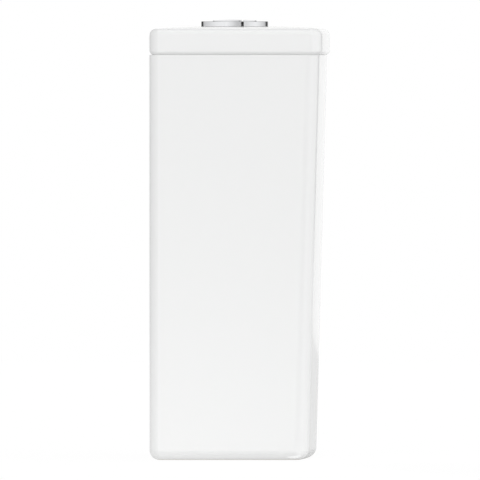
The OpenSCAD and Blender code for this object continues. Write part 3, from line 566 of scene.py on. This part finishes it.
cap_low, cap_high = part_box("fill_cap")
cap_r = (cap_high.y - cap_low.y) / 2
cap_rim_z = cap_low.z + cap_wall_h
rib_low_z, rib_high_z = cap_low.z + rib_low_gap, cap_rim_z - rib_high_gap
ribs = bmesh.new()
for k in range(rib_count):
    turn = 2 * math.pi * k / rib_count
    out = Vector((math.cos(turn), math.sin(turn), 0))
    side = Vector((-math.sin(turn), math.cos(turn), 0))
    foot = Vector((*fill_axis, 0)) + out * (cap_r - rib_r / 2)
    section = [foot + out * a + side * b for a, b in arc(0, 0, rib_r, -90, 90, small_edge_steps)]
    rows = [[ribs.verts.new(p + Vector((0, 0, z))) for p in section] for z in (rib_low_z, rib_high_z)]
    for i in range(len(section)):
        j = (i + 1) % len(section)
        ribs.faces.new((rows[0][i], rows[0][j], rows[1][j], rows[1][i]))
    ribs.faces.new(tuple(reversed(rows[0])))
    ribs.faces.new(tuple(rows[1]))
cap_ribs = add_piece("fill_cap_ribs", mesh_of("fill_cap_ribs", ribs))
cap_ribs.data.materials.append(grey_resin)
cap_ribs.data.shade_smooth()
round_edges(cap_ribs, 0)
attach(cap_ribs, "tank")

# Fixings through the floor. Two zinc-plated bolts with slotted heads clamp the cistern to the pan over
# rubber washers, and a resin plug with its own washer and nut closes the inlet hole that is not used.
bolt_low, bolt_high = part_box("coupling_bolts")
bolt_r = 0.004
bolt_thread_pitch = 0.00125
bolt_thread_depth = 0.0006
bolt_thread_gap = 0.001
bolt_thread_top_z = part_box("bolt_nuts")[0].z - bolt_thread_gap
bolt_neck_r = 0.0037
bolt_head_r = 0.009
bolt_head_h = 0.005
bolt_head_z = bolt_high.z - bolt_head_h
bolt_head_edge_r = 0.0022
bolt_steps = 40
slot_half_w = 0.0009
slot_depth = 0.0022
bolt_flat_r = bolt_head_r - bolt_head_edge_r
bolt_profile = (
    [(0, bolt_low.z)]
    + [(bolt_r, z) for z in thread_levels(bolt_low.z, bolt_thread_top_z, bolt_thread_pitch)]
    + [(bolt_neck_r, bolt_thread_top_z), (bolt_neck_r, bolt_head_z), (bolt_head_r, bolt_head_z)]
    + arc(bolt_flat_r, bolt_high.z - bolt_head_edge_r, bolt_head_edge_r, 0, 90, small_edge_steps)
    + [(0, bolt_high.z)]
)
bolt_thread = thread_shape(bolt_low.z, bolt_thread_top_z, bolt_thread_pitch, bolt_thread_depth)
bolt_axes = [(-bolt_x, valve_y), (bolt_x, valve_y)]
bolts = lathe("slotted_bolts", bolt_profile, bolt_axes, bolt_steps, bolt_thread)
for x in (-bolt_x, bolt_x):
    low = (x - 2 * bolt_head_r, valve_y - slot_half_w, bolt_high.z - slot_depth)
    high = (x + 2 * bolt_head_r, valve_y + slot_half_w, bolt_high.z + slot_depth)
    carve(bolts, "DIFFERENCE", [slab(low, high)])
finish_piece(bolts, zinc, "tank", "coupling_bolts")
dress(rubber, "bolt_rubbers", "plug_washer")
dress(zinc, "bolt_washers", "bolt_nuts")
dress(white_resin, "blanking_plug", "plug_nut")

# China lid. A shallow hollow casting in the same glaze, flush with the tank at the back and a little
# proud elsewhere. Its top swells gently towards the button, and six lugs underneath keep it from
# sliding off the rim.
lid_z = rim_z
lid_h = 0.0235
lid_t = 0.010
lid_edge_z = lid_z + lid_h
lid_crown = 0.0019
lid_ceiling_z = lid_edge_z - lid_t
lid_skirt_t = 0.011
lid_draft = 0.003
lid_top_edge_r = 0.006
lid_low_edge_r = 0.0033
top_edge_turn = 84
crown_flat = 0.45
crown_end = 8
crown_steps = 24
lug_t = 0.007
lug_len = 0.040
lug_gap = 0.002
lug_x = 0.100
lug_root = 0.002
lid_hole_r = 0.0232


def bowed_y(x, half_w, front):
    """Face of a bowed front at x, from its half width and the face at its middle."""
    bow_r = (half_w**2 + front_bow**2) / (2 * front_bow)
    return front + bow_r - math.sqrt(bow_r**2 - x**2)


def lid_slice(z, inset):
    """One level of the lid, drawn in from its outside."""
    outline = plan_outline(
        lid_high.x - inset,
        back_y - inset,
        lid_low.y + inset,
        max(rear_corner_r - inset, least_corner_r),
        max(front_corner_r - inset, least_corner_r),
    )
    return [(x, y, z) for x, y in outline]


def past_flat(share):
    """How far a share of the way out from the lid's middle lies past the flat under the button."""
    return max(0, (share - crown_flat) / (1 - crown_flat))


def crown_slice(step):
    """One ring of the swelling top, from its edge in to the flat under the button."""
    share = 1 - (1 - crown_flat) * step / crown_steps
    z, inset = lid_levels[-1]
    half_w, rear, front = lid_high.x - inset, back_y - inset, lid_low.y + inset
    ring = []
    for x, y, level in lid_slice(z, inset):
        along = past_flat(share * abs(x) / half_w)
        across = past_flat(share * y / (rear if y > 0 else bowed_y(x, half_w, front)))
        swell = (1 - along**crown_end) * (1 - across**2)
        ring.append((x * share, y * share, level + (lid_edge_z + lid_crown - level) * swell))
    return ring


top_edge = arc(0, 0, lid_top_edge_r, 0, top_edge_turn, edge_steps)
lid_levels = (
    [(lid_ceiling_z, lid_skirt_t + lid_draft), (lid_z, lid_skirt_t)]
    + [(lid_z + lid_low_edge_r * (1 - a), lid_low_edge_r * (1 - b)) for a, b in soft_quarter(edge_steps)]
    + [(lid_edge_z - lid_top_edge_r + b, lid_top_edge_r - a) for a, b in top_edge]
)
lid_slices = [lid_slice(z, inset) for z, inset in lid_levels]
lid_slices += [crown_slice(step) for step in range(1, crown_steps + 1)]
lid = skin("lid_china", lid_slices)
inner_half_w = rim_half_w - wall_t
lug_end = lug_x + lug_len / 2
lug_front_y = bowed_y(lug_end, inner_half_w, rim_front_y + wall_t) + lug_gap
lug_rear_y = back_y - wall_t - lug_gap
lug_side_x = inner_half_w - lug_gap
lug_top_z = lid_ceiling_z + lug_root
for side in (-1, 1):
    near, far = sorted((side * (lug_x - lug_len / 2), side * lug_end))
    inner, outer = sorted((side * lug_side_x, side * (lug_side_x - lug_t)))
    rear = slab((near, lug_rear_y - lug_t, lid_low.z), (far, lug_rear_y, lug_top_z))
    front = slab((near, lug_front_y, lid_low.z), (far, lug_front_y + lug_t, lug_top_z))
    low_y, high_y = valve_y - lug_len / 2, valve_y + lug_len / 2
    end = slab((inner, low_y, lid_low.z), (outer, high_y, lug_top_z))
    carve(lid, "UNION", [rear, front, end])
low, high = (0, valve_y, lid_z), (0, valve_y, lid_high.z + cut_past)
carve(lid, "DIFFERENCE", [bar(low, high, lid_hole_r)])
finish_piece(lid, glaze, "lid", "cistern_lid", hole_edge_r)

# Push button. A chromed ring, turned down round a thin foam ring, clamps through the lid with a resin
# nut. Inside it two domed chromed caps share the circle: the larger gives the full flush and the smaller
# the half flush. Resin rods run down from them to the rockers.
ring_top_z = ring_box[1].z
gasket_low, gasket_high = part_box("bezel_gasket")
gasket_r = (gasket_high.x - gasket_low.x) / 2
ring_low_z = gasket_high.z
ring_r = (ring_box[1].x - ring_box[0].x) / 2
ring_edge_r = 0.0004
ring_foot_r = 0.0002
ring_lip_gap = 0.00015
cap_disc_r = 0.020
cap_gap = 0.0004
ring_lip_r = gasket_r + cap_gap
ring_lip_z = gasket_low.z + ring_lip_gap
ring_bore_r = cap_disc_r + cap_gap
sleeve_r = 0.0224
web_low_z = ring_box[0].z
web_t = 0.0025
web_high_z = web_low_z + web_t
full_rod_back = 0.006
half_rod_front = 0.0124
full_rod_y = valve_y + full_rod_back
half_rod_y = valve_y - half_rod_front
rod_hole_r = 0.0029
rod_socket_r = 0.00255
split_front = 0.007
split_y = valve_y - split_front
split_half = 0.0004
dome_edge_h = 0.0006
dome_h = 0.0018
cap_t = 0.003
cap_skirt_h = 0.006
cap_edge_z = ring_top_z + dome_edge_h
cap_top_z = ring_top_z + dome_h
cap_low_z = ring_top_z - cap_t
cap_skirt_z = cap_low_z - cap_skirt_h
cap_skirt_t = 0.002
cap_split_edge_r = 0.0004
cap_split_angle = 55
boss_r = 0.004
boss_h = 0.008
boss_low_z = cap_low_z - boss_h
turn_steps = 128
dome_steps = 18
foot_steps = 3
chrome = surface(
    "chrome_plate", ((0.72, 0.725, 0.735), (0.69, 0.695, 0.71)),
    patches=160, amount=0.5, grains=700, roughness=(0.045, 0.075), depth=0.000001, sockets=metal,
)

gasket_half = (gasket_high.z - gasket_low.z) / 2
gasket_profile = [(lid_hole_r, gasket_low.z)]
gasket_middle_z = gasket_low.z + gasket_half
gasket_profile += arc(gasket_r - gasket_half, gasket_middle_z, gasket_half, 270, 450, foam_steps)
gasket_profile += [(lid_hole_r, gasket_high.z)]
gasket = lathe("gasket_foam", gasket_profile, [valve_axis])
finish_piece(gasket, foam, "lid", "bezel_gasket")

ring_edge_z = ring_top_z - ring_edge_r
ring_profile = (
    [(0, web_low_z), (sleeve_r, web_low_z), (sleeve_r, ring_low_z)]
    + [(ring_lip_r, ring_low_z), (ring_lip_r, ring_lip_z)]
    + arc(ring_r - ring_foot_r, ring_lip_z + ring_foot_r, ring_foot_r, 270, 360, foot_steps)
    + arc(ring_r - ring_edge_r, ring_edge_z, ring_edge_r, 0, 90, small_edge_steps)
    + arc(ring_bore_r + ring_edge_r, ring_edge_z, ring_edge_r, 90, 180, small_edge_steps)
    + [(ring_bore_r, web_high_z), (0, web_high_z)]
)
ring = lathe("bezel_ring", ring_profile, [valve_axis], turn_steps)
for y in (full_rod_y, half_rod_y):
    low, high = (0, y, web_low_z - cut_past), (0, y, web_high_z + cut_past)
    carve(ring, "DIFFERENCE", [bar(low, high, rod_hole_r)])
finish_piece(ring, chrome, "lid", "button_bezel")
dress(white_resin, "button_locknut", "full_flush_rod", "half_flush_rod")

dome_rise = cap_top_z - cap_edge_z
dome_r = (cap_disc_r**2 + dome_rise**2) / (2 * dome_rise)
dome_turn = math.degrees(math.asin(cap_disc_r / dome_r))
cap_profile = (
    [(0, cap_low_z), (cap_disc_r - cap_skirt_t, cap_low_z), (cap_disc_r - cap_skirt_t, cap_skirt_z)]
    + [(cap_disc_r, cap_skirt_z)]
    + arc(0, cap_top_z - dome_r, dome_r, 90 - dome_turn, 90, dome_steps)[:-1]
    + [(0, cap_top_z)]
)
caps = {
    "full": (split_y + split_half, valve_y + 2 * cap_disc_r, full_rod_y),
    "half": (valve_y - 2 * cap_disc_r, split_y - split_half, half_rod_y),
}
for flush, (near_y, far_y, rod_y) in caps.items():
    cap = lathe(flush + "_flush_cap", cap_profile, [valve_axis], turn_steps)
    share = slab((-2 * cap_disc_r, near_y, boss_low_z), (2 * cap_disc_r, far_y, cap_top_z + cut_past))
    carve(cap, "INTERSECT", [share])
    carve(cap, "UNION", [bar((0, rod_y, boss_low_z), (0, rod_y, cap_low_z + dome_rise), boss_r)])
    carve(cap, "DIFFERENCE", [bar((0, rod_y, boss_low_z - dome_rise), (0, rod_y, cap_low_z), rod_socket_r)])
    body, node = flush + "_button", flush + "_flush_button"
    finish_piece(cap, chrome, body, node, cap_split_edge_r, cap_split_angle)

# Return springs. Each is one wound wire between the web of the ring and a cap, round the boss of the
# cap.
coil_r = 0.0049
wire_r = 0.0005
coil_turns = 6
coil_gap = 0.0001
coil_steps = 28
wire_steps = 10
coil_low_z = web_high_z + wire_r + coil_gap
coil_rise = cap_low_z - web_high_z - 2 * (wire_r + coil_gap)
coil_slope = math.atan(coil_rise / (2 * math.pi * coil_r * coil_turns))


def coil_slice(rod_y, share):
    """Section of the wire at a share of its length."""
    turn = 2 * math.pi * coil_turns * share
    out = Vector((math.cos(turn), math.sin(turn), 0))
    lean = math.sin(coil_slope)
    up = Vector((math.sin(turn) * lean, -math.cos(turn) * lean, math.cos(coil_slope)))
    middle = Vector((0, rod_y, coil_low_z + coil_rise * share)) + out * coil_r
    return [tuple(middle + out * a + up * b) for a, b in arc(0, 0, wire_r, 0, 360, wire_steps)[:-1]]


for flush, (_, _, rod_y) in caps.items():
    count = coil_turns * coil_steps
    coil = skin(flush + "_spring_coil", [coil_slice(rod_y, i / count) for i in range(count + 1)])
    finish_piece(coil, zinc, "lid", flush + "_flush_spring")
    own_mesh(coil)

# Studio. A white floor, which glows in a painted pool of light beside the left side, in a white room
# with soft panels all round. What shines sees brighter panels with dark gaps between them and, on the
# floor, a black velvet flag, a black mat and a white card that paint shade round the foot, and a small
# glowing strip that paints a highlight on the base edge; these draw the edges of the glaze and the chrome.
floor_half = 6.0
floor_white = 0.52
floor_roughness = 0.9
floor_glow = 1.08
glow_seen = 0.88
glow_mirrored = 0.50
# Painted pool of light: near here the floor glows though no lamp stands there, and lights the tank from
# below.
pool_share = 0.55
pool_x = -0.35
pool_y = 0.12
pool_near = 0.12
pool_far = 0.60
floor_z_gap = 0.0002
form = bmesh.new()
bmesh.ops.create_grid(form, x_segments=1, y_segments=1, size=floor_half)
bmesh.ops.translate(form, verts=form.verts, vec=(0, 0, -floor_z_gap))
floor = add_piece("floor", mesh_of("floor", form))
paper = bpy.data.materials.new("white_floor")
paper.use_nodes = True
tree = paper.node_tree
matt = tree.nodes["Principled BSDF"]
matt.inputs["Base Color"].default_value = (floor_white, floor_white, floor_white, 1)
matt.inputs["Roughness"].default_value = floor_roughness
glow = add_node(tree, "ShaderNodeEmission", (), {"Strength": floor_glow})
ray = add_node(tree, "ShaderNodeLightPath")
direct = add_node(tree, "ShaderNodeMath", {"operation": "MAXIMUM"})
seen = add_node(tree, "ShaderNodeMath", {"operation": "MULTIPLY"}, {1: glow_seen})
mirrored = add_node(tree, "ShaderNodeMath", {"operation": "MULTIPLY"}, {1: glow_mirrored})
either = add_node(tree, "ShaderNodeMath", {"operation": "MAXIMUM"})
place = add_node(tree, "ShaderNodeTexCoord")
away = add_node(tree, "ShaderNodeVectorMath", {"operation": "DISTANCE"}, {1: (pool_x, pool_y, 0)})
pool_values = {"From Min": pool_near, "From Max": pool_far, "To Min": pool_share, "To Max": 0.0}
pool = add_node(tree, "ShaderNodeMapRange", (), pool_values)
most = add_node(tree, "ShaderNodeMath", {"operation": "MAXIMUM"})
lit = add_node(tree, "ShaderNodeMixShader")
side = add_node(tree, "ShaderNodeNewGeometry")
clear = add_node(tree, "ShaderNodeBsdfTransparent")
open_below = add_node(tree, "ShaderNodeMixShader")
tree.links.new(ray.outputs["Is Camera Ray"], direct.inputs[0])
tree.links.new(ray.outputs["Is Transmission Ray"], direct.inputs[1])
tree.links.new(direct.outputs[0], seen.inputs[0])
tree.links.new(ray.outputs["Is Glossy Ray"], mirrored.inputs[0])
tree.links.new(seen.outputs[0], either.inputs[0])
tree.links.new(mirrored.outputs[0], either.inputs[1])
tree.links.new(place.outputs["Object"], away.inputs[0])
tree.links.new(away.outputs["Value"], pool.inputs["Value"])
tree.links.new(either.outputs[0], most.inputs[0])
tree.links.new(pool.outputs["Result"], most.inputs[1])
tree.links.new(most.outputs[0], lit.inputs[0])
tree.links.new(matt.outputs[0], lit.inputs[1])
tree.links.new(glow.outputs[0], lit.inputs[2])
tree.links.new(side.outputs["Backfacing"], open_below.inputs[0])
tree.links.new(lit.outputs[0], open_below.inputs[1])
tree.links.new(clear.outputs[0], open_below.inputs[2])
tree.links.new(open_below.outputs[0], tree.nodes["Material Output"].inputs["Surface"])
floor.data.materials.append(paper)

# Painted shade round the foot, seen only in what shines: a black mat beside the left side and a white card
# along the front stand for the floor lying in the tank's shade.
shade_margin = 0.05
flag_near = 0.35
flag_far = 6.0
flag_left = 12
flag_right = 44
flag_gap = 0.0001
card_under = 0.02
card_white = 0.8
flag_and_shade_black = 0.004
# Painted highlight: a small strip on the floor under the base edge near the front glows, seen only in what
# shines.
highlight_glow = 3.0
strip_gap = 0.00005
strip_points = [(0.0035, -0.0435), (0.0013, -0.0435), (0.0009, -0.0570), (0.0055, -0.0570)]
flag_points = arc(0, 0, flag_near, 180 + flag_left, 180 + flag_right, 1)
flag_points += arc(0, 0, flag_far, 180 + flag_right, 180 + flag_left, 1)
foot_x = -(rim_half_w - side_taper)
foot_y = rim_front_y + front_taper
shade_mat_x = foot_x - shade_margin
shade_mat_low_y, shade_mat_high_y = foot_y + front_corner_r, back_y + shade_margin
# Painted shade: the black mat beside the left side of the foot.
flag_points += [(shade_mat_x, shade_mat_low_y), (foot_x, shade_mat_low_y), (foot_x, shade_mat_high_y), (shade_mat_x, shade_mat_high_y)]
card_low_y, card_high_y = foot_y - shade_margin, foot_y + card_under
# Painted shade: the white card along the front of the foot.
flag_points += [(foot_x, card_low_y), (-foot_x, card_low_y), (-foot_x, card_high_y), (foot_x, card_high_y)]
flag_points = [(x, y, -flag_gap) for x, y in flag_points]
# Painted highlight: the glowing strip under the base edge.
flag_points += [(foot_x + inside, y, -strip_gap) for inside, y in strip_points]
flag_faces = [tuple(range(k, k + 4)) for k in range(0, len(flag_points), 4)]
flag_mesh = bpy.data.meshes.new("flags_and_painted_light")
flag_mesh.from_pydata(flag_points, [], flag_faces)
for face, finish in zip(flag_mesh.polygons, (0, 0, 1, 2)):
    face.material_index = finish
flags = add_piece("flags_and_painted_light", flag_mesh)
flags.visible_camera = False
flags.visible_diffuse = False
flags.visible_shadow = False
flag_finishes = [
    ("black_flag_and_painted_shade", flag_and_shade_black, 0), ("painted_shade_card", card_white, 0), ("painted_highlight_strip", card_white, highlight_glow),
]
for name, shade, strength in flag_finishes:
    cloth = bpy.data.materials.new(name)
    cloth.use_nodes = True
    shader = cloth.node_tree.nodes["Principled BSDF"]
    shader.inputs["Base Color"].default_value = (shade, shade, shade, 1)
    shader.inputs["Roughness"].default_value = 1.0
    shader.inputs["Emission Color"].default_value = (1, 1, 1, 1)
    shader.inputs["Emission Strength"].default_value = strength
    flags.data.materials.append(cloth)

world = bpy.data.worlds.new("studio")
scene.world = world
world.use_nodes = True
tree = world.node_tree
way = add_node(tree, "ShaderNodeTexCoord")
parts = add_node(tree, "ShaderNodeSeparateXYZ")
toward = add_node(tree, "ShaderNodeMath", {"operation": "MULTIPLY"}, {1: -1.0})
rightward = add_node(tree, "ShaderNodeMath", {"operation": "MULTIPLY"}, {1: -1.0})
bearing = add_node(tree, "ShaderNodeMath", {"operation": "ARCTAN2"})
whole_turn = add_node(tree, "ShaderNodeMapRange", (), {"From Min": -math.pi, "From Max": math.pi})
tree.links.new(way.outputs["Generated"], parts.inputs[0])
tree.links.new(parts.outputs["X"], toward.inputs[0])
tree.links.new(parts.outputs["Y"], rightward.inputs[0])
tree.links.new(rightward.outputs[0], bearing.inputs[0])
tree.links.new(toward.outputs[0], bearing.inputs[1])
tree.links.new(bearing.outputs[0], whole_turn.inputs["Value"])
overhead_low_z = 0.78
overhead_high_z = 0.92


def room_light(walls, ceiling, overhead, low_z, high_z, strength):
    """Light of the room: levels by bearing to the right of the camera, a ceiling and a panel overhead."""
    band = add_node(tree, "ShaderNodeValToRGB")
    stops = band.color_ramp.elements
    while len(stops) < len(walls):
        stops.new(0.5)
    for stop, (degrees, level) in zip(stops, walls):
        stop.position = (degrees + 180) / 360
        stop.color = (level, level, level, 1)
    rise = add_node(tree, "ShaderNodeMapRange", (), {"From Min": low_z, "From Max": high_z})
    whole = add_node(tree, "ShaderNodeMix", {"data_type": "RGBA"}, {7: (ceiling, ceiling, ceiling, 1)})
    climb_values = {"From Min": overhead_low_z, "From Max": overhead_high_z}
    climb = add_node(tree, "ShaderNodeMapRange", (), climb_values)
    roof = add_node(tree, "ShaderNodeMix", {"data_type": "RGBA"}, {7: (overhead, overhead, overhead, 1)})
    light = add_node(tree, "ShaderNodeBackground", (), {"Strength": strength})
    tree.links.new(whole_turn.outputs["Result"], band.inputs["Fac"])
    tree.links.new(parts.outputs["Z"], rise.inputs["Value"])
    tree.links.new(rise.outputs["Result"], whole.inputs[0])
    tree.links.new(band.outputs["Color"], whole.inputs[6])
    tree.links.new(parts.outputs["Z"], climb.inputs["Value"])
    tree.links.new(climb.outputs["Result"], roof.inputs[0])
    tree.links.new(whole.outputs[2], roof.inputs[6])
    tree.links.new(roof.outputs[2], light.inputs["Color"])
    return light


soft_walls = [
    (-180, 0.36), (-135, 0.28), (-90, 0.32), (-45, 0.74), (0, 1.0), (45, 0.95), (90, 0.81), (135, 0.60),
    (180, 0.36),
]
panel_walls = [
    (-180, 0.81), (-174, 0.81), (-170, 0.05), (-145, 0.05), (-133, 0.60), (-113, 0.72), (-91, 0.82),
    (-65, 0.95), (-27, 1.00), (-13, 0.87), (0, 0.72), (7, 0.63), (14, 0.59), (20, 0.64), (22, 0.03),
    (30, 0.03), (32, 0.86), (39, 0.80), (58, 0.93), (76, 0.99), (92, 0.90), (115, 0.72), (126, 0.60),
    (132, 0.30), (138, 0.07), (153, 0.07), (158, 0.81), (180, 0.81),
]
soft = room_light(soft_walls, ceiling=0.27, overhead=0.36, low_z=0.3, high_z=0.8, strength=1.94)
panels = room_light(panel_walls, ceiling=0.42, overhead=0.70, low_z=0.12, high_z=0.5, strength=1.2)
backdrop = add_node(tree, "ShaderNodeBackground", (), {"Color": (1, 1, 1, 1), "Strength": 1.0})
ray = add_node(tree, "ShaderNodeLightPath")
shine = add_node(tree, "ShaderNodeMixShader")
direct = add_node(tree, "ShaderNodeMath", {"operation": "MAXIMUM"})
seen = add_node(tree, "ShaderNodeMixShader")
tree.links.new(ray.outputs["Is Glossy Ray"], shine.inputs[0])
tree.links.new(soft.outputs[0], shine.inputs[1])
tree.links.new(panels.outputs[0], shine.inputs[2])
tree.links.new(ray.outputs["Is Camera Ray"], direct.inputs[0])
tree.links.new(ray.outputs["Is Transmission Ray"], direct.inputs[1])
tree.links.new(direct.outputs[0], seen.inputs[0])
tree.links.new(shine.outputs[0], seen.inputs[1])
tree.links.new(backdrop.outputs[0], seen.inputs[2])
tree.links.new(seen.outputs[0], tree.nodes["World Output"].inputs["Surface"])

# Camera. It stands far off the left side at the height of the lid, with a very long lens, so that the
# side shows almost without perspective and the front of the cistern is at the right.
camera_distance = 20.0
camera_z = 0.370
aim_y = 0.0001
aim_z = 0.1968
lens_mm = 1651.5
sensor_mm = 36.0
camera = bpy.data.cameras.new("camera")
camera.lens = lens_mm
camera.sensor_width = sensor_mm
viewer = bpy.data.objects.new("camera", camera)
scene.collection.objects.link(viewer)
viewer.location = (-camera_distance, aim_y, camera_z)
line_of_sight = Vector((0, aim_y, aim_z)) - viewer.location
viewer.rotation_euler = line_of_sight.to_track_quat("-Z", "Y").to_euler()
scene.camera = viewer
scene.view_settings.view_transform = "Standard"
